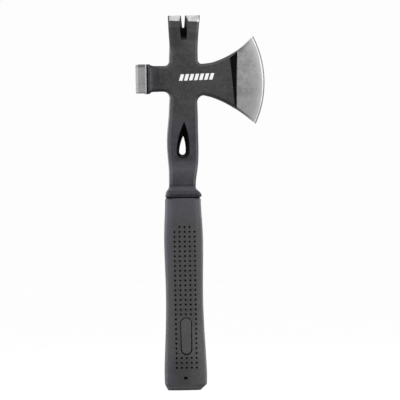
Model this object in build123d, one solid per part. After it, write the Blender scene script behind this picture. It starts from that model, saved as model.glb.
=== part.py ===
from build123d import *
import os
from math import copysign, cos, hypot, pi, sin

# Multi-purpose hatchet: one steel forging with a moulded rubber grip.
# Millimetres. The origin is on the handle's axis in the butt's flat end, +Z runs
# up to the head, +X points to the blade and -Y is the front face.

# Heights along the handle
TOTAL_LENGTH = 320.0
GRIP_TOP = 163.8
GUARD_BOTTOM = 164.8
NECK_BOTTOM = 175.0
HUB_BOTTOM = 236.0
HUB_TOP = 287.0
HUB_LEFT = -15.6
HUB_RIGHT = 24.0
HEAD_AXIS_Z = 263.0

# Half thicknesses of the forging
NECK_HALF = 7.4
GUARD_COLLAR = (14.5, 9.6)
HUB_HALF = 8.7
CLAW_TIP_HALF = 1.4
CLAW_GRIND_HALF = 2.9

# Planes where the arms of the head meet
ARM_ENDS_X = (HUB_LEFT, HUB_RIGHT, 60.0)
ARM_ENDS_Z = (NECK_BOTTOM, HUB_BOTTOM, HUB_TOP, TOTAL_LENGTH)

# Bevel along the painted edges: width on the face and depth on the side
BEVEL_FACE = 2.3
BEVEL_SIDE = 1.5

# Hammer poll
POLL_FACE_X = -38.0
POLL_BACK_X = -30.9
POLL_SIZE = 24.5
POLL_Z = 266.3
POLL_CHAMFER = 0.5
COLLAR_X = -27.5
COLLAR_Z = 265.95
COLLAR_SIZE = 25.2
ARM_Z = 266.1
ARM_HALF = 10.95

# Blade: the ground faces are cones about an axis along Y
EDGE_RADIUS = 86.0
EDGE_AXIS_X = -14.3
EDGE_HALF = 0.12
HONE_WIDTH = 1.9
HONE_HALF = 0.75
GRIND_RADIUS = 58.0
GRIND_HALF = 4.6
CHEEK_HALF = 6.7
BLADE_ROOT_HALF = 4.6
SHOULDER_TOP = (42.2, 48.4, 282.6)
SHOULDER_FOOT = (45.2, 47.3, 241.2)
SHOULDER_DROP = 3.2

# Nail-puller hole in the neck
HOLE_CENTRE = (0.25, 203.8)
HOLE_RADIUS = 2.75
HOLE_TIP = (1.15, 217.2)
SINK_CENTRE = (0.3, 202.9)
SINK_RADIUS = 6.4
SINK_TIP = (1.6, 229.9)
SINK_OUTER = 8.8
HOLE_LAND = 1.2

# Claw slot and the groove around it: height of the round end, its radius and the
# half width at the mouth; the groove runs between two distances from the middle plane
SLOT_X = 2.6
SLOT = (310.4, 0.85, 2.0)
GROOVE_OUTER = (301.0, 2.75, 6.5)
GROOVE_INNER = (304.0, 1.9, 2.0)
GROOVE_DEPTHS = (6.5, 0.8)
TIP_GRIND_Z = 315.0

# Tang inside the grip
TANG_WIDTH = 17.0
TANG_HALF = 3.75
TANG_BOTTOM = 12.0
TANG_HOLE = 8.0
TANG_HOLES_Z = (40.0, 85.0, 130.0)

# Grip: height, half width and half thickness of each section
GRIP_SECTIONS = (
    (5.0, 17.9, 13.6),
    (20.0, 18.0, 13.5),
    (44.0, 16.85, 12.8),
    (76.0, 15.85, 12.2),
    (108.0, 16.3, 12.4),
    (130.0, 16.55, 12.6),
    (150.0, 15.7, 12.3),
    (GRIP_TOP, 15.35, 12.1),
)
GRIP_ROUNDNESS = 2.7
GRIP_LIP = 0.9

# Bevelled butt under the grip's first section: height, centre, half width and half thickness
BUTT_SECTIONS = ((0.0, -1.4, 13.9, 12.3), (1.8, -0.9, 15.35, 13.3), (5.0, 0.0, 17.9, 13.6))

# Dimples and inlay of the grip
DIMPLE = 1.9
DIMPLE_DEPTH = 1.6
DIMPLE_COLUMN = 4.3
DIMPLE_PITCH = 4.14
DIMPLE_FIRST_Z = 19.2
DIMPLE_ROWS = 30
INLAY_Z = 46.1
INLAY_POCKET = (9.8, 32.0)
INLAY_SIZE = (8.4, 30.6)
INLAY_FLOOR = 11.3
INLAY_FACE = 12.75
VENT = (3.0, 2.2)
VENT_CENTRE = (-1.1, 10.5)
VENT_FLOOR = 8.0


def wall(outline, half):
    """Prism of an XZ outline, thick from -half to +half along Y."""
    return extrude(Location((0, -half, 0)) * outline, amount=2 * half, dir=(0, 1, 0))


def bevelled(solid):
    """Bevel the long front and back edges, but not the ends that meet other arms."""
    for end in (0, -1):
        face = solid.faces().sort_by(Axis.Y)[end]
        edges = [e for e in face.edges() if not straight_cut(e)]
        solid = chamfer(edges, BEVEL_FACE, BEVEL_SIDE, reference=face)
    return solid


def straight_cut(edge):
    """True for an edge in one of the planes where two arms of the head meet."""
    size = edge.bounding_box().size
    middle = edge.center()
    level = size.Z < 0.01 and min(abs(middle.Z - z) for z in ARM_ENDS_Z) < 0.01
    upright = size.X < 0.01 and min(abs(middle.X - x) for x in ARM_ENDS_X) < 0.01
    return level or upright


def side_slab(front):
    """Slab across the handle whose thickness follows a front curve in the YZ plane."""
    back = mirror(front, about=Plane.XZ)
    profile = make_face([front, back, Line(front @ 0, back @ 0), Line(front @ 1, back @ 1)])
    return extrude(Location((-20, 0, 0)) * profile, amount=40, dir=(1, 0, 0))


def hub():
    """The middle of the head, where neck, poll, claw and blade meet."""
    arm_bottom, arm_top = ARM_Z - ARM_HALF, ARM_Z + ARM_HALF
    corners = (
        (-10.4, HUB_BOTTOM), (-9.15, arm_bottom), (HUB_LEFT, arm_bottom), (HUB_LEFT, arm_top),
        (-9.8, arm_top), (-9.3, HUB_TOP), (14.15, HUB_TOP), (14.2, 278.0),
        (HUB_RIGHT, 279.05), (HUB_RIGHT, 250.5), (13.0, 253.25), (13.4, HUB_BOTTOM),
    )
    radii = (0, 5.3, 0, 0, 4.4, 0, 0, 3.4, 0, 0, 6.0, 0)
    outline = FilletPolyline(*[(x, 0, z) for x, z in corners], radius=radii, close=True)
    solid = wall(make_face(outline), HUB_HALF)
    return bevelled(solid)


def neck():
    """The waisted shank between guard and head."""
    left = Spline((-11.3, 0, NECK_BOTTOM), (-11.15, 0, 186), (-12.4, 0, 206), (-11.85, 0, 222),
                  (-10.4, 0, HUB_BOTTOM), tangents=((0, 0, 1), (1.25, 0, 19.1)))
    right = Spline((10.8, 0, NECK_BOTTOM), (12.3, 0, 187), (13.65, 0, 205), (13.4, 0, 222),
                   (13.4, 0, HUB_BOTTOM), tangents=((0, 0, 1), (-0.4, 0, 17.2)))
    prism = wall(make_face([left, right, Line(left @ 0, right @ 0), Line(left @ 1, right @ 1)]), 12)
    front = Spline((0, -NECK_HALF, NECK_BOTTOM), (0, -NECK_HALF, 205), (0, -HUB_HALF, HUB_BOTTOM),
                   tangents=((0, 0, 1), (0, 0, 1)))
    return bevelled(prism & side_slab(front)) - nail_hole()


def drop_face(centre, radius, tip, y):
    """Teardrop in the plane at y: half a circle, closed by arcs that meet at tip."""
    (cx, cz), (tx, tz) = centre, tip
    reach = hypot(tx - cx, tz - cz)
    ux, uz = (tx - cx) / reach, (tz - cz) / reach
    left, right = (cx - radius * uz, y, cz + radius * ux), (cx + radius * uz, y, cz - radius * ux)
    low = (cx - radius * ux, y, cz - radius * uz)
    sides = [TangentArc(end, (tx, y, tz), tangent=(ux, 0, uz)) for end in (left, right)]
    return make_face([ThreePointArc(left, low, right), *sides])


def nail_hole():
    """Teardrop nail-puller hole, sunk from both faces to a narrow land."""
    inner = drop_face(HOLE_CENTRE, HOLE_RADIUS, HOLE_TIP, -HOLE_LAND)
    outer = drop_face(SINK_CENTRE, SINK_RADIUS, SINK_TIP, -SINK_OUTER)
    sink = loft([outer, inner], ruled=True)
    return [sink, mirror(sink, about=Plane.XZ), extrude(inner, amount=2 * HOLE_LAND, dir=(0, 1, 0))]


def slot_face(slot, y):
    """Slot in the plane at y, open at the top and round at its lower end."""
    end_z, radius, mouth_half = slot
    top = TOTAL_LENGTH + 2
    left, right = (SLOT_X - radius, y, end_z), (SLOT_X + radius, y, end_z)
    left_top, right_top = (SLOT_X - mouth_half, y, top), (SLOT_X + mouth_half, y, top)
    arc = ThreePointArc(left, (SLOT_X, y, end_z - radius), right)
    return make_face([arc, Line(right, right_top), Line(right_top, left_top), Line(left_top, left)])


def claw_slot():
    """V slot for pulling nails, with a deep groove in both faces."""
    outside, inside = GROOVE_DEPTHS
    groove = loft([slot_face(GROOVE_OUTER, -outside), slot_face(GROOVE_INNER, -inside)], ruled=True)
    slot = extrude(slot_face(SLOT, 0), amount=inside + 1, both=True)
    return [groove, mirror(groove, about=Plane.XZ), slot]


def tip_grinds():
    """Wedges removed from both faces of the claw's tip."""
    far = 2 * CLAW_GRIND_HALF
    points = ((-CLAW_TIP_HALF, TOTAL_LENGTH), (-CLAW_GRIND_HALF, TIP_GRIND_Z), (-far, TIP_GRIND_Z),
              (-far, TOTAL_LENGTH))
    face = make_face(Polyline(*[(0, y, z) for y, z in points], close=True))
    wedge = extrude(face, amount=30, both=True)
    return [wedge, mirror(wedge, about=Plane.XZ)]


def claw():
    """The straight claw, tapering to its split tip."""
    left = Spline((-9.3, 0, HUB_TOP), (-9.0, 0, 292), (-9.4, 0, 301), (-10.3, 0, TOTAL_LENGTH),
                  tangents=((0.5, 0, 9.95), (-0.2, 0, 9)))
    right = Spline((14.15, 0, HUB_TOP), (14.4, 0, 294), (15.4, 0, 305), (17.0, 0, TOTAL_LENGTH),
                   tangents=((-0.05, 0, 9), (0.7, 0, 9)))
    prism = wall(make_face([left, right, Line(left @ 0, right @ 0), Line(left @ 1, right @ 1)]), 12)
    front = Spline((0, -HUB_HALF, HUB_TOP), (0, -4.0, 308), (0, -CLAW_GRIND_HALF + 0.2, TOTAL_LENGTH),
                   tangents=((0, 0.05, 1), (0, 0.08, 1)))
    return bevelled(prism & side_slab(front)) - claw_slot() - tip_grinds()


def octagon(centre, normal, half_width, half_depth, bevel=(BEVEL_FACE, BEVEL_SIDE)):
    """Rectangle with bevelled corners: the width is seen from the front, the depth runs along Y."""
    plane = Plane(centre, x_dir=(0, 1, 0), z_dir=normal)
    side, face = half_depth - bevel[1], half_width - bevel[0]
    corners = ((-half_depth, -face), (-half_depth, face), (-side, half_width), (side, half_width),
               (half_depth, face), (half_depth, -face), (side, -half_width), (-side, -half_width))
    return plane * make_face(Polyline(*corners, close=True))


def poll():
    """The arm to the left of the hub with its collar and square hammer block."""
    collar = COLLAR_SIZE / 2
    swell = ((HUB_LEFT, ARM_Z, ARM_HALF, HUB_HALF), (-19.5, ARM_Z, ARM_HALF, 9.2),
             (-23.4, ARM_Z, 11.0, 10.3), (-25.8, ARM_Z, 11.4, 11.4), (COLLAR_X, COLLAR_Z, collar, collar))
    arm = loft([octagon((x, 0, z), (-1, 0, 0), width, depth) for x, z, width, depth in swell])
    ring = extrude(octagon((COLLAR_X, 0, COLLAR_Z), (-1, 0, 0), collar, collar),
                   amount=COLLAR_X - POLL_BACK_X)
    centre = Location(((POLL_FACE_X + POLL_BACK_X) / 2 + 0.5, 0, POLL_Z))
    block = centre * Box(POLL_BACK_X - POLL_FACE_X + 1, POLL_SIZE, POLL_SIZE)
    block = chamfer(block.edges().filter_by(Axis.X), POLL_CHAMFER)
    block = chamfer(block.faces().sort_by(Axis.X)[0].edges(), POLL_CHAMFER)
    return arm + ring + block


def blade_outline():
    """Flared blade seen from the front, run on past the cutting edge."""
    top = Spline((HUB_RIGHT, 0, 279.05), (30, 0, 280.5), (36, 0, 282.8), (42, 0, 285.7), (48, 0, 289.2),
                 (54, 0, 293.6), (60, 0, 299.2), (66, 0, 305.2), tangents=((1, 0, 0.12), (1, 0, 1.02)))
    foot = Spline((HUB_RIGHT, 0, 250.5), (30, 0, 248.4), (36, 0, 245.7), (42, 0, 242.4), (48, 0, 238.6),
                  (54, 0, 234.3), (60, 0, 229.4), (68, 0, 223.0), tangents=((1, 0, -0.25), (1, 0, -0.8)))
    far = EDGE_AXIS_X + EDGE_RADIUS + 5
    beyond = Polyline(top @ 1, (far, 0, 305.2), (far, 0, 223.0), foot @ 1)
    return make_face([top, foot, Line(top @ 0, foot @ 0), *beyond.edges()])


def shoulder_section(z):
    """Level section of what lies behind the twisted shoulder at height z."""
    share = (z - SHOULDER_FOOT[2]) / (SHOULDER_TOP[2] - SHOULDER_FOOT[2])
    start, end = [SHOULDER_FOOT[i] + share * (SHOULDER_TOP[i] - SHOULDER_FOOT[i]) for i in (0, 1)]
    slope = (end - start) / SHOULDER_DROP
    outer, ridge = start - slope * (14 - CHEEK_HALF), start + slope * CHEEK_HALF
    points = ((10, -14), (outer, -14), (ridge, 0), (outer, 14), (10, 14))
    return make_face(Polyline(*[(x, y, z) for x, y in points], close=True))


def blade():
    """Painted cheek, twisted shoulder and ground blade down to the honed edge."""
    prism = wall(blade_outline(), 12)
    end = ARM_ENDS_X[2]
    thin = CHEEK_HALF - (HUB_HALF - CHEEK_HALF) * (end - 44) / (44 - HUB_RIGHT)
    points = ((HUB_RIGHT, -HUB_HALF), (end, -thin), (end, thin), (HUB_RIGHT, HUB_HALF))
    slab = extrude(make_face(Polyline(*[(x, y, 0) for x, y in points], close=True)), amount=400)
    cheek = bevelled(prism & slab)
    cheek = cheek & loft([shoulder_section(220), shoulder_section(310)], ruled=True)
    hone = EDGE_RADIUS - HONE_WIDTH
    half = ((GRIND_RADIUS - 15, BLADE_ROOT_HALF), (GRIND_RADIUS, GRIND_HALF), (hone, HONE_HALF),
            (EDGE_RADIUS, EDGE_HALF))
    ring = [(r, -y) for r, y in half] + [(r, y) for r, y in reversed(half)]
    profile = make_face(Polyline(*[(EDGE_AXIS_X + r, y, HEAD_AXIS_Z) for r, y in ring], close=True))
    axis = Axis((EDGE_AXIS_X, 0, HEAD_AXIS_Z), (0, 1, 0))
    return cheek + (prism & revolve(profile, axis))


def oval(half_x, half_y, z, centre_x=0.0):
    """Superellipse section of the handle at height z."""
    power = 2 / GRIP_ROUNDNESS
    ring = []
    for step in range(32):
        c, s = cos(step * pi / 16), sin(step * pi / 16)
        x, y = half_x * copysign(abs(c) ** power, c), half_y * copysign(abs(s) ** power, s)
        ring.append((centre_x + x, y, z))
    return make_face(Spline(ring, periodic=True))


def guard():
    """Flared foot of the neck on a thin collar that rests on the grip."""
    flare = ((GUARD_BOTTOM, 0.35, 14.4, 10.2), (166.4, 0.5, 14.8, 10.5), (168.2, 0.3, 14.25, 10.4),
             (170.0, -0.25, 13.1, 10.0), (171.4, -0.55, 11.9, 9.4), (172.6, -0.5, 11.3, 8.2),
             (173.7, -0.35, 11.1, 7.55), (NECK_BOTTOM, -0.25, 11.05, NECK_HALF))
    foot = loft([octagon((x, 0, z), (0, 0, 1), width, depth) for z, x, width, depth in flare])
    collar = loft([oval(*GUARD_COLLAR, z) for z in (GRIP_TOP, GUARD_BOTTOM)], ruled=True)
    return foot + collar


def tang():
    """Flat bar inside the grip, with holes that the rubber fills."""
    height = NECK_BOTTOM - TANG_BOTTOM
    bar = Location((0, 0, TANG_BOTTOM + height / 2)) * Box(TANG_WIDTH, 2 * TANG_HALF, height)
    bar = chamfer(bar.edges().filter_by(Axis.Z), 1.0)
    holes = [Location((0, 0, z), (90, 0, 0)) * Cylinder(TANG_HOLE / 2, 20) for z in TANG_HOLES_Z]
    return bar - holes


def forging():
    """The whole steel piece."""
    return hub() + neck() + claw() + poll() + blade() + guard() + tang()


def face_depth(x, z):
    """Distance of the grip's front surface from the middle plane."""
    for (z0, a0, b0), (z1, a1, b1) in zip(GRIP_SECTIONS, GRIP_SECTIONS[1:]):
        if z0 <= z <= z1:
            share = (z - z0) / (z1 - z0)
            a, b = a0 + share * (a1 - a0), b0 + share * (b1 - b0)
    return b * (1 - abs(x / a) ** GRIP_ROUNDNESS) ** (1 / GRIP_ROUNDNESS)


def dimples():
    """Blind round dimples in five columns, leaving room for the inlay."""
    pits = []
    for row in range(DIMPLE_ROWS):
        z = DIMPLE_FIRST_Z + row * DIMPLE_PITCH
        for column in (-2, -1, 0, 1, 2):
            beside = abs(z - INLAY_Z) < INLAY_POCKET[1] / 2 + 0.8
            if beside and abs(column) < 2 or row == DIMPLE_ROWS - 1 and abs(column) == 2:
                continue
            x = column * DIMPLE_COLUMN
            depth = face_depth(x, z) - DIMPLE_DEPTH
            for side in (-1, 1):
                place = Location((x, side * (depth + 1.5), z), (90, 0, 0))
                pits.append(place * Cylinder(DIMPLE / 2, 3.0))
    return pits


def inlay_block(size, near, far, side):
    """Upright oval block between two distances from the middle plane."""
    width, height = size
    face = Plane((0, side * near, INLAY_Z), x_dir=(0, 0, 1), z_dir=(0, side, 0)) * SlotOverall(height, width)
    return extrude(face, amount=far - near)


def grip():
    """Rubber sleeve moulded over the tang."""
    body = loft([oval(a, b, z) for z, a, b in GRIP_SECTIONS])
    body = chamfer(body.faces().sort_by(Axis.Z)[-1].edges(), GRIP_LIP)
    butt = loft([oval(a, b, z, x) for z, x, a, b in BUTT_SECTIONS], ruled=True)
    body = body + butt - tang()
    for side in (-1, 1):
        body = body - inlay_block(INLAY_POCKET, INLAY_FLOOR, 20, side)
        vent = Plane((VENT_CENTRE[0], side * VENT_FLOOR, VENT_CENTRE[1]), x_dir=(1, 0, 0), z_dir=(0, side, 0))
        body = body - extrude(vent * RectangleRounded(*VENT, 0.8), amount=10)
    return body - dimples()


def inlay(side):
    """Oval inlay lying on the floor of its pocket."""
    block = inlay_block(INLAY_SIZE, INLAY_FLOOR, INLAY_FACE, side)
    face = block.faces().sort_by(Axis.Y)[0 if side < 0 else -1]
    return chamfer(face.edges(), 0.45)


def main():
    """Write one STEP file per piece."""
    os.makedirs("parts", exist_ok=True)
    pieces = {
        "forged_body": forging(),
        "grip_sleeve": grip(),
        "badge_front": inlay(-1),
        "badge_back": inlay(1),
    }
    for name, piece in pieces.items():
        export_step(piece, f"parts/{name}.step")


main()
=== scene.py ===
import bpy
import math
from mathutils import Matrix, Vector


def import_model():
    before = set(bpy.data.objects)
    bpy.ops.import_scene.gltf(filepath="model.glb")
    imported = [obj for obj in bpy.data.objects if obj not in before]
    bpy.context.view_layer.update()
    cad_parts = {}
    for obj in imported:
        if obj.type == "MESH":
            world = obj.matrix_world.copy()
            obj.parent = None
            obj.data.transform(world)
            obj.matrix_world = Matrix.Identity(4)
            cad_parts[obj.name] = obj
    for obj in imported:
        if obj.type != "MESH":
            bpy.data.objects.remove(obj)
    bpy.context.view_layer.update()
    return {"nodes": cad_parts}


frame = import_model()
nodes = frame["nodes"]

# ---------------------------------------------------------------- node helpers

# Fade on each side of a crisp line, and of a softer one, in metres
CRISP = 0.0001
SOFT = 0.0004


class Net:
    """Short-hand for building one material's node tree."""

    def __init__(self, name):
        self.material = bpy.data.materials.new(name)
        self.material.use_nodes = True
        self.tree = self.material.node_tree
        self.tree.nodes.clear()
        self.out = self.tree.nodes.new("ShaderNodeOutputMaterial")
        place = self.tree.nodes.new("ShaderNodeTexCoord")
        self.place = place.outputs["Object"]
        self.x, self.y, self.z = self.parts(self.place)

    def put(self, socket, value):
        if isinstance(value, bpy.types.NodeSocket):
            self.tree.links.new(value, socket)
        else:
            socket.default_value = value

    def parts(self, vector):
        """X, Y and Z parts of a vector."""
        split = self.tree.nodes.new("ShaderNodeSeparateXYZ")
        self.tree.links.new(vector, split.inputs[0])
        return list(split.outputs)

    def facing(self):
        """X, Y and Z parts of the surface's own direction."""
        geometry = self.tree.nodes.new("ShaderNodeNewGeometry")
        return self.parts(geometry.outputs["Normal"])

    def math(self, operation, a, b=0.0, c=0.0, clamp=False):
        node = self.tree.nodes.new("ShaderNodeMath")
        node.operation = operation
        node.use_clamp = clamp
        for socket, value in zip(node.inputs, (a, b, c)):
            self.put(socket, value)
        return node.outputs[0]

    def add(self, a, b):
        return self.math("ADD", a, b)

    def minus(self, a, b):
        return self.math("SUBTRACT", a, b)

    def absolute(self, a):
        return self.math("ABSOLUTE", a)

    def line(self, value, slope, start, clamp=False):
        """Value times slope, plus start."""
        return self.math("MULTIPLY_ADD", value, slope, start, clamp)

    def product(self, first, *others):
        for value in others:
            first = self.math("MULTIPLY", first, value)
        return first

    def largest(self, first, *others):
        for value in others:
            first = self.math("MAXIMUM", first, value)
        return first

    def share(self, a, part, b):
        """Sum of a part of a and the rest of b."""
        return self.line(a, part, self.product(b, 1 - part))

    def reach(self, a, b):
        """Distance from the origin of a point at a and b."""
        return self.math("SQRT", self.add(self.product(a, a), self.product(b, b)))

    def from_nearest(self, value, pitch):
        """Distance of value from the nearest whole number of pitches."""
        return self.math("PINGPONG", value, pitch / 2)

    def ramp(self, value, low, high, start=0.0, end=1.0):
        """Smooth step of value from low to high, giving start to end."""
        node = self.tree.nodes.new("ShaderNodeMapRange")
        node.interpolation_type = "SMOOTHSTEP"
        for socket, v in zip(node.inputs[:5], (value, low, high, start, end)):
            self.put(socket, v)
        return node.outputs[0]

    def above(self, value, level, soft=CRISP):
        """One where value is over level, fading over soft on each side of it."""
        return self.ramp(value, level - soft, level + soft)

    def below(self, value, level, soft=CRISP):
        """One where value is under level, fading over soft on each side of it."""
        return self.ramp(value, level + soft, level - soft)

    def near(self, value, centre, half, soft=SOFT):
        """One where value is within half of centre, fading over soft on each side of that."""
        return self.below(self.absolute(self.minus(value, centre)), half, soft)

    def noise(self, scale, detail, roughness, stretch=(1, 1, 1), distortion=0.0):
        mapping = self.tree.nodes.new("ShaderNodeMapping")
        mapping.inputs["Scale"].default_value = stretch
        self.tree.links.new(self.place, mapping.inputs["Vector"])
        node = self.tree.nodes.new("ShaderNodeTexNoise")
        self.tree.links.new(mapping.outputs[0], node.inputs["Vector"])
        node.inputs["Scale"].default_value = scale
        node.inputs["Detail"].default_value = detail
        node.inputs["Roughness"].default_value = roughness
        node.inputs["Distortion"].default_value = distortion
        return node.outputs["Fac"]

    def mix(self, factor, a, b, data_type="RGBA"):
        """A where factor is zero and b where it is one."""
        node = self.tree.nodes.new("ShaderNodeMix")
        node.data_type = data_type
        first, second, result = {"RGBA": (6, 7, 2), "FLOAT": (2, 3, 0)}[data_type]
        self.put(node.inputs[0], factor)
        self.put(node.inputs[first], a)
        self.put(node.inputs[second], b)
        return node.outputs[result]

    def coats(self, colour, *layers):
        """Colour with layers laid over it in turn, each given as its factor and its own colour."""
        for factor, over in layers:
            colour = self.mix(factor, colour, over)
        return colour

    def bump(self, height):
        """Surface direction for a height in metres."""
        node = self.tree.nodes.new("ShaderNodeBump")
        self.tree.links.new(height, node.inputs["Height"])
        node.inputs["Strength"].default_value = 1.0
        node.inputs["Distance"].default_value = 1.0
        return node.outputs[0]

    def shader(self, **inputs):
        node = self.tree.nodes.new("ShaderNodeBsdfPrincipled")
        for name, value in inputs.items():
            self.put(node.inputs[name.replace("_", " ")], value)
        return node.outputs[0]

    def blend(self, factor, a, b):
        node = self.tree.nodes.new("ShaderNodeMixShader")
        self.put(node.inputs[0], factor)
        self.tree.links.new(a, node.inputs[1])
        self.tree.links.new(b, node.inputs[2])
        return node.outputs[0]

    def shade_shader(self, value, normal):
        """Near-black shader that paints shade into a recess; it reflects no highlight."""
        return self.shader(Base_Color=grey(value), Roughness=1.0, Specular_IOR_Level=0.0, Normal=normal)

    def finish(self, shader):
        self.tree.links.new(shader, self.out.inputs["Surface"])
        return self.material


def grey(value, blue=0.0):
    """Linear colour of an sRGB grey level from 0 to 255, with a share of blue added."""
    level = value / 255
    linear = ((level + 0.055) / 1.055) ** 2.4 if level > 0.04045 else level / 12.92
    return (linear, linear * (1 - 0.2 * blue), linear * (1 + blue), 1.0)


# ---------------------------------------------------------------- the forging's finish

# All places are in metres, in the frame's X, Y and Z

# The cutting edge is an arc about this axis
EDGE_AXIS_X = -0.0143
EDGE_AXIS_Z = 0.263
EDGE_RADIUS = 0.086

# The paint ends on the blade along a line through this point
PAINT_LINE_X = 0.0473
PAINT_LINE_Z = 0.2412
PAINT_LINE_SLOPE = 0.0262

# The paint ends behind the poll's bare steel, where the painted collar begins
POLL_BACK = -0.03045
COLLAR_X = -0.0301

# The claw's top, its split, and its faces, which slope together until they are at the tips' thickness
CLAW_TOP = 0.320
CLAW_SLOPE_Z = 0.300
CLAW_SLOPE = -0.245
CLAW_HALF_THICKNESS = 0.0061
CLAW_TIP_HALF_THICKNESS = 0.0034
SLOT_X = 0.0026
SLOT_FLANK = 0.0024
GROOVE_HALF_WIDTH = 0.0045

# The claw's ground tips, whose paint line leans a little
TIP_GRIND = 0.3151
TIP_LEAN = 0.05
TIP_MIDDLE = 0.0034
TIP_HALF_WIDTH = 0.0127

# The neck's faces, which spread a little from this height up to the head
NECK_SPREAD_Z = 0.205
NECK_SPREAD = 0.042
NECK_HALF_THICKNESS = 0.0074

# The teardrop nail hole
HOLE_X = 0.0009
HOLE_Z = 0.2135
HOLE_HALF_WIDTH = 0.0078
HOLE_HALF_HEIGHT = 0.0175

# The narrow gap between the guard and the grip
GUARD_FOOT = 0.1643

# The printed stripes on the front cheek
PRINT_X = 0.0128
PRINT_Z = 0.2672
PRINT_LEAN = 0.024
PRINT_HALF_HEIGHT = 0.0027
PRINT_FRONT_Y = -0.0082
STRIPES = 7
STRIPE_PITCH = 0.0043
STRIPE_HALF_WIDTH = 0.00145
STRIPE_SLANT = 0.30


def edge_radius(n):
    """Distance from the axis of the cutting edge's arc."""
    return n.reach(n.minus(n.x, EDGE_AXIS_X), n.minus(n.z, EDGE_AXIS_Z))


def bare_steel(n, wobble):
    """Where the forging is ground to bare steel: blade, poll and claw tips."""
    across_front = n.absolute(n.facing()[1])
    x = n.add(n.x, wobble)
    paint_line = n.line(n.minus(n.z, PAINT_LINE_Z), PAINT_LINE_SLOPE, PAINT_LINE_X)
    blade = n.product(n.above(n.minus(x, paint_line), 0.0), n.ramp(across_front, 0.60, 0.75))
    poll = n.below(x, POLL_BACK)
    level = n.line(n.minus(n.x, TIP_MIDDLE), TIP_LEAN, n.add(n.z, wobble))
    from_slot = n.absolute(n.minus(n.x, SLOT_X))
    flank_slope = n.ramp(n.x, SLOT_X - CRISP, SLOT_X + CRISP, 0.20, 0.40)
    flank = n.line(n.minus(CLAW_TOP, n.z), flank_slope, SLOT_FLANK)
    tips = n.product(
        n.above(level, TIP_GRIND),
        n.ramp(across_front, 0.70, 0.76),
        n.near(x, TIP_MIDDLE, TIP_HALF_WIDTH, 2 * CRISP),
        n.above(n.minus(from_slot, flank), 0.0),
    )
    return blade, poll, tips


def recess_shade(n):
    """Painted shade: nail hole, claw groove, the collar behind the poll and the gap over the grip,
    darkened to near black.
    """
    depth = n.absolute(n.y)
    above_neck = n.largest(n.minus(n.z, NECK_SPREAD_Z), 0.0)
    neck_half = n.line(above_neck, NECK_SPREAD, NECK_HALF_THICKNESS)
    hole = n.product(
        n.near(n.x, HOLE_X, HOLE_HALF_WIDTH),
        n.near(n.z, HOLE_Z, HOLE_HALF_HEIGHT),
        n.ramp(n.minus(neck_half, depth), 0.00005, 0.00025),
        n.ramp(n.x, 0.0035, 0.0080, 1.0, 0.45),
        n.ramp(n.z, 0.200, 0.214, 0.90, 1.0),
    )
    claw_half = n.line(n.minus(n.z, CLAW_SLOPE_Z), CLAW_SLOPE, CLAW_HALF_THICKNESS)
    claw_half = n.largest(claw_half, CLAW_TIP_HALF_THICKNESS)
    groove = n.product(
        n.near(n.x, SLOT_X, GROOVE_HALF_WIDTH),
        n.ramp(n.z, 0.297, 0.298),
        n.ramp(n.minus(claw_half, depth), 0.0, 0.0006),
        n.ramp(n.z, 0.2992, 0.3030, 0.30, 1.0),
        n.ramp(n.z, 0.3075, 0.3125, 1.0, 0.10),
    )
    collar = n.near(n.x, COLLAR_X, 0.0009, 0.0003)
    gap = n.near(n.z, GUARD_FOOT, 0.0006, 0.0002)
    return n.largest(hole, groove, collar, gap)


def shades(n):
    """Painted shade: slightly darker on the claw, along the poll's arm, at the neck's foot and round
    the guard.
    """
    claw = n.product(
        n.ramp(n.x, 0.010, -0.005, 0.06, 0.46),
        n.ramp(n.z, 0.286, 0.296),
        n.ramp(n.z, 0.3110, 0.3090, 0.25, 1.0),
    )
    bend = n.product(n.near(n.z, 0.3020, 0.0035, 0.0010), n.ramp(n.x, 0.0035, 0.0050, 0.0, 0.30))
    arm_swell = n.product(n.near(n.x, -0.0228, 0.0040, 0.0012), 0.32)
    arm_foot = n.product(n.near(n.x, -0.0215, 0.0060, 0.0015), n.ramp(n.z, 0.2655, 0.2615, 0.0, 0.26))
    neck_foot = n.product(n.near(n.z, 0.1747, 0.0010, 0.0011), 0.42)
    guard = n.add(n.ramp(n.z, 0.1710, 0.1700, 0.0, 0.20), n.ramp(n.z, 0.1682, 0.1662, 0.0, 0.10))
    return n.largest(claw, bend, arm_swell, arm_foot, neck_foot, guard)


def shoulder_shade(n):
    """The sunken facet between the painted cheek and the ground blade, which faces the edge, darkened
    to near black as painted shade.
    """
    middle_x = 0.042
    top_slope, top_z = 0.716, 0.2835
    foot_slope, foot_z = -0.633, 0.2435
    past = n.minus(n.x, middle_x)
    below_top = n.minus(n.line(past, top_slope, top_z), n.z)
    above_foot = n.minus(n.z, n.line(past, foot_slope, foot_z))
    return n.product(
        n.ramp(n.x, 0.0414, 0.0418),
        n.ramp(n.facing()[0], 0.25, 0.35),
        n.above(n.math("MINIMUM", below_top, above_foot), 0.0, 2 * CRISP),
    )


def print_mark(n, wobble):
    """White print on the front cheek: a row of slanted stripes."""
    dx = n.minus(n.x, PRINT_X)
    dz = n.minus(n.z, PRINT_Z)
    up = n.add(n.minus(dz, n.product(dx, PRINT_LEAN)), wobble)
    along = n.minus(n.add(dx, wobble), n.product(up, STRIPE_SLANT))
    return n.product(
        n.below(n.from_nearest(along, STRIPE_PITCH), STRIPE_HALF_WIDTH),
        n.near(along, 0.0, STRIPES * STRIPE_PITCH / 2, CRISP / 2),
        n.near(up, 0.0, PRINT_HALF_HEIGHT, CRISP),
        n.below(n.y, PRINT_FRONT_Y, 2 * CRISP),
    )


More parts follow.
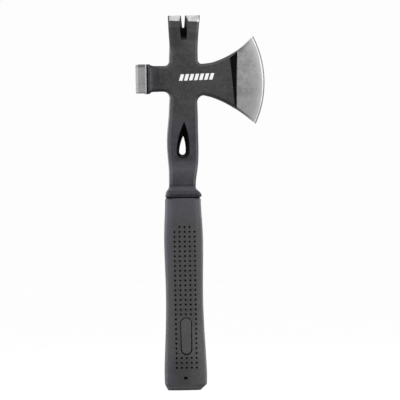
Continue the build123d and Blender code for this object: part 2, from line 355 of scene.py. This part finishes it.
def border(n):
    """Darker line where the ground blade meets its curved top and its straight foot."""
    start_x = 0.048
    top_curve, top_slope, top_z = 14.5, 0.66, 0.2892
    foot_slope, foot_z = -0.756, 0.2386
    top_cosine, foot_cosine = 0.75, 0.80
    out = n.minus(n.x, start_x)
    top = n.line(out, n.line(out, top_curve, top_slope), top_z)
    foot = n.line(out, foot_slope, foot_z)
    below_top = n.product(n.minus(top, n.z), top_cosine)
    above_foot = n.product(n.minus(n.z, foot), foot_cosine)
    return n.largest(n.ramp(below_top, 0.0042, 0.0008, 0.0, 0.75), n.ramp(above_foot, 0.0021, 0.0013))


def edge_highlights(n, cloud):
    """Painted highlight over the blade's steel that brightens towards the honed edge, with a painted
    darker rim outermost.

    Each fades in over a distance inward from the edge, given as where it starts and is full.
    """
    inward = n.minus(EDGE_RADIUS, edge_radius(n))
    wavy = n.line(n.minus(0.5, cloud), 0.0012, inward)
    halo = n.ramp(wavy, 0.0160, 0.0026, 0.0, 0.6)
    glow = n.ramp(wavy, 0.0068, 0.0020, 0.0, 0.75)
    widened = n.line(n.near(n.z, 0.270, 0.009, 0.009), -0.0004, wavy)
    honed = n.ramp(widened, 0.0023, 0.0017)
    rim = n.ramp(inward, 0.0012, 0.0008)
    gleam = n.product(n.ramp(n.z, 0.236, 0.252, 0.3, 0.8), n.ramp(n.z, 0.290, 0.276, 0.35, 1.0))
    gleam = n.line(cloud, 0.5, gleam, clamp=True)
    highlight_colour = n.mix(gleam, grey(212), grey(238))
    return (halo, grey(186)), (glow, grey(202)), (honed, highlight_colour), (rim, grey(134))


def steel(n, blade, poll, tips):
    """Colour, roughness and height of the ground steel, with painted highlights along the honed edge,
    on the lower blade and along the poll's rim, and painted shade along the poll's top.
    """
    cloud = n.noise(110, 5, 0.62)
    smudge = n.noise(70, 3, 0.5, stretch=(1, 1, 1.6), distortion=0.4)
    grit = n.noise(420, 3, 0.6)
    blade_marks = n.noise(130, 3, 0.65, stretch=(1, 4, 22))
    other_marks = n.noise(150, 3, 0.65, stretch=(22, 1, 1.2))
    marks = n.mix(blade, other_marks, blade_marks, "FLOAT")
    tone = n.share(grit, 0.30, n.share(marks, 0.35, cloud))
    # Painted highlight along the honed edge, on the blade only
    edge_highlight_coats = [(n.product(factor, blade), over) for factor, over in edge_highlights(n, cloud)]
    poll_face = n.ramp(n.facing()[0], -0.4, -0.7)
    # Painted shade along the poll's top and a painted highlight along its rim by the collar
    poll_top_shade = n.ramp(n.z, 0.2752, 0.2768)
    poll_rim_highlight = n.ramp(n.x, POLL_BACK - 0.0012, POLL_BACK - 0.0005)
    colour = n.coats(
        n.mix(n.ramp(tone, 0.40, 0.60), grey(138), grey(166)),
        (n.ramp(smudge, 0.62, 0.72, 0.0, 0.35), grey(132)),
        # Painted light: the lower blade is lighter
        (n.product(n.ramp(n.z, 0.258, 0.246, 0.0, 0.5), blade), grey(174)),
        (n.product(border(n), blade), grey(104)),
        (n.product(poll, 0.5), grey(162)),
        (n.product(poll_face, poll), grey(140)),
        # Painted shade on the poll's top, then a painted highlight on its rim
        (n.product(poll_top_shade, poll), grey(116)),
        (n.product(poll_rim_highlight, poll), grey(205)),
        *edge_highlight_coats,
        (n.product(tips, 0.8), n.mix(n.ramp(grit, 0.40, 0.60), grey(166), grey(192))),
    )
    height = n.line(marks, 0.000026, n.product(cloud, 0.00007))
    return colour, n.ramp(tone, 0.3, 0.7, 0.36, 0.50), height


def paint(n, wobble):
    """Colour, roughness and height of the satin charcoal paint with its white print, a painted sheen
    low on the neck, and bevels lighter by edge wear and painted highlight.
    """
    mottle = n.noise(70, 5, 0.6)
    patch = n.noise(260, 4, 0.6)
    grain = n.noise(1500, 3, 0.6)
    speck = n.minus(n.noise(620, 2, 0.6), 0.5)
    tone = n.line(speck, 0.55, n.share(patch, 0.4, mottle))
    light = n.ramp(tone, 0.36, 0.64)
    neck_and_arm = n.largest(n.ramp(n.z, 0.236, 0.226), n.ramp(n.x, -0.016, -0.019))
    bluish = n.product(n.ramp(n.noise(22, 2, 0.5), 0.40, 0.54), neck_and_arm)
    # Painted sheen: the neck is lighter a little above the guard
    low_neck_sheen = n.product(n.near(n.z, 0.189, 0.003, 0.008), 0.8)
    # Bevels slightly lighter: partly edge wear, partly painted highlight
    bevel = n.ramp(n.absolute(n.facing()[1]), 0.93, 0.84)
    colour = n.coats(
        n.mix(light, grey(34), grey(54)),
        (bluish, n.mix(light, grey(34, 0.3), grey(54, 0.3))),
        (low_neck_sheen, grey(80, 0.15)),
        (n.product(bevel, 0.12), grey(60)),
        (print_mark(n, wobble), grey(246)),
    )
    height = n.line(mottle, 0.00026, n.line(patch, 0.000045, n.product(grain, 0.000014)))
    return colour, n.ramp(tone, 0.3, 0.7, 0.38, 0.52), height


def forging_material():
    """One finish for the whole forging, which is painted except where it is ground, with painted shade
    blended in.
    """
    n = Net("forging_paint_and_steel")
    wobble = n.product(n.minus(n.noise(900, 2, 0.5), 0.5), 0.0004)
    blade, poll, tips = bare_steel(n, wobble)
    bare = n.largest(blade, poll, tips)
    # Painted shade: recesses, soft shades and the shoulder facet, on painted parts only, turn towards a
    # near-black shader
    dark = n.product(n.largest(recess_shade(n), shades(n), shoulder_shade(n)), n.minus(1.0, bare))
    metal, metal_rough, metal_height = steel(n, blade, poll, tips)
    skin, skin_rough, skin_height = paint(n, wobble)
    normal = n.bump(n.mix(bare, skin_height, metal_height, "FLOAT"))
    surface = n.shader(
        Base_Color=n.mix(bare, skin, metal),
        Metallic=bare,
        Roughness=n.mix(bare, skin_rough, metal_rough, "FLOAT"),
        Normal=normal,
    )
    # The painted shade is blended in here
    return n.finish(n.blend(dark, surface, n.shade_shader(16, normal)))


# ---------------------------------------------------------------- the grip's rubber

# Columns and rows of the grip's dimples
DIMPLE_COLUMN = 0.0043
DIMPLE_PITCH = 0.00414
DIMPLE_FIRST_Z = 0.0192
DIMPLE_WALL_RADIUS = 0.00090
DIMPLE_FLOOR_RADIUS = 0.00060
DIMPLES_MIDDLE_Z = 0.07923
DIMPLES_HALF_HEIGHT = 0.0614

# Half the width of a row of dimples, which is less in the top row
ROW_HALF_WIDTH = 0.0099
TOP_ROW_HALF_WIDTH = 0.0056
TOP_ROW_FROM_Z = 0.1372

# The inlay's pocket is two half rounds joined by straight sides, in a patch without dimples
POCKET_Z = 0.0461
POCKET_HALF_STRAIGHT = 0.0111
POCKET_WALL_RADIUS = 0.00505
POCKET_FLOOR_RADIUS = 0.00490
PATCH_HALF_WIDTH = 0.0066
PATCH_HALF_HEIGHT = 0.0168

# The vent near the butt
VENT_X = -0.0011
VENT_Z = 0.0105
VENT_HALF_WIDTH = 0.0016
VENT_HALF_HEIGHT = 0.0012


def pit_shade(n):
    """Painted shade on the floors of the grip's dimples, of the inlays' pockets and of the vents near
    the butt.
    """
    beside = n.from_nearest(n.x, DIMPLE_COLUMN)
    over = n.from_nearest(n.minus(n.z, DIMPLE_FIRST_Z), DIMPLE_PITCH)
    half_row = n.ramp(n.z, TOP_ROW_FROM_Z, TOP_ROW_FROM_Z + CRISP, ROW_HALF_WIDTH, TOP_ROW_HALF_WIDTH)
    patch = n.product(
        n.near(n.x, 0.0, PATCH_HALF_WIDTH, CRISP),
        n.near(n.z, POCKET_Z, PATCH_HALF_HEIGHT, CRISP),
    )
    dimples = n.product(
        n.ramp(n.reach(beside, over), DIMPLE_WALL_RADIUS, DIMPLE_FLOOR_RADIUS),
        n.near(n.z, DIMPLES_MIDDLE_Z, DIMPLES_HALF_HEIGHT, CRISP),
        n.ramp(n.minus(half_row, n.absolute(n.x)), 0.0, CRISP),
        n.minus(1.0, patch),
    )
    vent = n.product(
        n.near(n.x, VENT_X, VENT_HALF_WIDTH, CRISP),
        n.near(n.z, VENT_Z, VENT_HALF_HEIGHT, CRISP),
    )
    from_middle = n.absolute(n.minus(n.z, POCKET_Z))
    past_straight = n.largest(n.minus(from_middle, POCKET_HALF_STRAIGHT), 0.0)
    pocket = n.ramp(n.reach(n.x, past_straight), POCKET_WALL_RADIUS, POCKET_FLOOR_RADIUS)
    return n.largest(dimples, vent, pocket)


def rubber_material(name, low, high, dimpled):
    """Moulded rubber: satin skin from grey low to grey high, with fine pores and a parting line.

    It has painted light down the middle, at the right near the foot and at the top, and is bluish
    at the left near both ends. The butt's bevel has painted light too, with a thin painted highlight.
    """
    n = Net(name)
    mottle = n.noise(60, 5, 0.6)
    pores = n.noise(2200, 2, 0.5)
    speck = n.ramp(n.noise(620, 2, 0.6), 0.35, 0.65)
    light = n.ramp(mottle, 0.34, 0.66)
    ends = n.largest(n.ramp(n.z, 0.068, 0.105), n.ramp(n.z, 0.038, 0.020))
    bluish_patch = n.ramp(n.noise(16, 2, 0.5), 0.40, 0.55, 0.6, 1.0)
    bluish = n.product(bluish_patch, ends, n.ramp(n.x, -0.0060, -0.0120))
    # Painted light: lighter down the middle and at the right near the foot
    middle = n.product(n.ramp(n.absolute(n.x), 0.0155, 0.0100), n.ramp(n.z, 0.022, 0.034, 0.22, 0.52))
    right_foot_light = n.product(n.ramp(n.x, 0.0010, 0.0060, 0.0, 0.32), n.ramp(n.z, 0.060, 0.048))
    colour = n.coats(
        n.mix(light, grey(low), grey(high)),
        (bluish, n.mix(light, grey(low, 0.5), grey(high + 5, 0.5))),
        (n.add(middle, right_foot_light), n.mix(speck, grey(68), grey(83))),
        # Painted light at the top and on the butt's bevel, and a painted highlight along the bevel's
        # thin bright line
        (n.ramp(n.z, 0.138, 0.154, 0.0, 0.38), grey(76, 0.35)),
        (n.ramp(n.z, 0.0056, 0.0046, 0.0, 0.35), grey(high + 22)),
        (n.product(n.near(n.z, 0.0023, 0.0003), 0.4), grey(high + 50)),
    )
    seam = n.ramp(n.absolute(n.y), 0.00045, 0.0002)
    height = n.line(seam, 0.00008, n.line(mottle, 0.0002, n.product(pores, 0.00002)))
    normal = n.bump(height)
    skin = n.shader(
        Base_Color=colour,
        Roughness=n.ramp(mottle, 0.2, 0.8, 0.46, 0.6),
        Specular_IOR_Level=0.38,
        Normal=normal,
    )
    if dimpled:
        # Painted shade: these floors turn to a near-black shader
        skin = n.blend(pit_shade(n), skin, n.shade_shader(14, normal))
    return n.finish(skin)


def coat(name, material):
    mesh = nodes[name].data
    mesh.materials.clear()
    mesh.materials.append(material)


coat("forged_body", forging_material())
coat("grip_sleeve", rubber_material("grip_rubber", 38, 48, True))
badge = rubber_material("badge_rubber", 56, 72, False)
coat("badge_front", badge)
coat("badge_back", badge)

# ---------------------------------------------------------------- stage, light and camera

FLOOR_RADIUS = 7.6
DOME_RADIUS = 7.7
FLOOR_Z = -0.0002
WHITE = (1, 1, 1, 1)

# The middle of the object, which the lamps face
MIDDLE = Vector((0.01, 0, 0.16))
LAMP_DISTANCE = 1.6


def backdrop_material():
    material = bpy.data.materials.new("white_backdrop")
    material.use_nodes = True
    tree = material.node_tree
    tree.nodes.clear()
    glow = tree.nodes.new("ShaderNodeEmission")
    glow.inputs["Color"].default_value = WHITE
    glow.inputs["Strength"].default_value = 0.98
    out = tree.nodes.new("ShaderNodeOutputMaterial")
    tree.links.new(glow.outputs[0], out.inputs["Surface"])
    return material


def floor_material():
    material = bpy.data.materials.new("pale_floor")
    material.use_nodes = True
    shader = material.node_tree.nodes["Principled BSDF"]
    shader.inputs["Base Color"].default_value = (0.04, 0.04, 0.04, 1)
    shader.inputs["Roughness"].default_value = 1.0
    shader.inputs["Specular IOR Level"].default_value = 0.0
    shader.inputs["Emission Color"].default_value = WHITE
    shader.inputs["Emission Strength"].default_value = 0.95
    return material


def stage():
    """White floor and dome that the camera sees but that light and shade nothing."""
    bpy.ops.mesh.primitive_circle_add(
        vertices=96, radius=FLOOR_RADIUS, fill_type="NGON", location=(0, 0, FLOOR_Z)
    )
    floor = bpy.context.object
    floor.name = "floor"
    floor.data.materials.append(floor_material())
    bpy.ops.mesh.primitive_uv_sphere_add(segments=64, ring_count=32, radius=DOME_RADIUS)
    dome = bpy.context.object
    dome.name = "backdrop"
    dome.data.materials.append(backdrop_material())
    for thing in (floor, dome):
        thing.visible_diffuse = False
        thing.visible_glossy = False
        thing.visible_shadow = False


def softbox(name, azimuth, elevation, width, height, watts):
    """Rectangular lamp around the object; azimuth 0 is in front of it and 90 on its right."""
    turn = math.radians(azimuth)
    rise = math.radians(elevation)
    out = Vector((math.sin(turn) * math.cos(rise), -math.cos(turn) * math.cos(rise), math.sin(rise)))
    data = bpy.data.lights.new(name, "AREA")
    data.shape = "RECTANGLE"
    data.size = width
    data.size_y = height
    data.energy = watts
    lamp = bpy.data.objects.new(name, data)
    bpy.context.scene.collection.objects.link(lamp)
    lamp.location = MIDDLE + out * LAMP_DISTANCE
    lamp.rotation_euler = (-out).to_track_quat("-Z", "Y").to_euler()
    lamp.visible_camera = False


def world():
    """White surroundings, dimmer below the horizon than above it."""
    studio = bpy.data.worlds.new("studio")
    bpy.context.scene.world = studio
    studio.use_nodes = True
    tree = studio.node_tree
    background = tree.nodes["Background"]
    background.inputs["Color"].default_value = WHITE
    place = tree.nodes.new("ShaderNodeTexCoord")
    split = tree.nodes.new("ShaderNodeSeparateXYZ")
    fade = tree.nodes.new("ShaderNodeMapRange")
    fade.interpolation_type = "SMOOTHSTEP"
    fade.inputs["From Min"].default_value = -0.45
    fade.inputs["From Max"].default_value = 0.10
    fade.inputs["To Min"].default_value = 0.38
    fade.inputs["To Max"].default_value = 0.87
    tree.links.new(place.outputs["Generated"], split.inputs[0])
    tree.links.new(split.outputs["Z"], fade.inputs["Value"])
    tree.links.new(fade.outputs["Result"], background.inputs["Strength"])


def lights():
    softbox("key", 14, 40, 0.9, 0.9, 3)
    softbox("side_left", -74, 8, 0.5, 1.6, 9)
    softbox("side_right", 72, 8, 0.5, 1.6, 10)
    softbox("top", -4, 72, 1.6, 0.6, 4)
    softbox("back_left", -128, 12, 0.6, 1.6, 11)
    softbox("back_right", 128, 12, 0.6, 1.6, 11)
    softbox("back", 180, 45, 1.2, 0.8, 12)


def camera():
    """Long lens, a little to the object's left, rolled by the tool's small lean."""
    azimuth = math.radians(-4.5)
    lean = 0.01665
    distance = 6.0
    view_width = 0.3419
    aim_right = 0.01458
    aim_up = 0.1621
    data = bpy.data.cameras.new("camera")
    cam = bpy.data.objects.new("camera", data)
    bpy.context.scene.collection.objects.link(cam)
    right = Vector((math.cos(azimuth), math.sin(azimuth), 0))
    back = Vector((math.sin(azimuth), -math.cos(azimuth), 0))
    up = Vector((0, 0, 1))
    tilted_right = (right - up * lean).normalized()
    tilted_up = (up + right * lean).normalized()
    place = right * aim_right + up * aim_up + back * distance
    cam.matrix_world = Matrix((
        (tilted_right.x, tilted_up.x, back.x, place.x),
        (tilted_right.y, tilted_up.y, back.y, place.y),
        (tilted_right.z, tilted_up.z, back.z, place.z),
        (0, 0, 0, 1),
    ))
    data.sensor_width = 36
    data.lens = data.sensor_width * distance / view_width
    data.clip_start = 0.1
    data.clip_end = 30
    bpy.context.scene.camera = cam


stage()
world()
lights()
camera()
bpy.context.scene.view_settings.view_transform = "Standard"
bpy.context.scene.view_settings.look = "None"
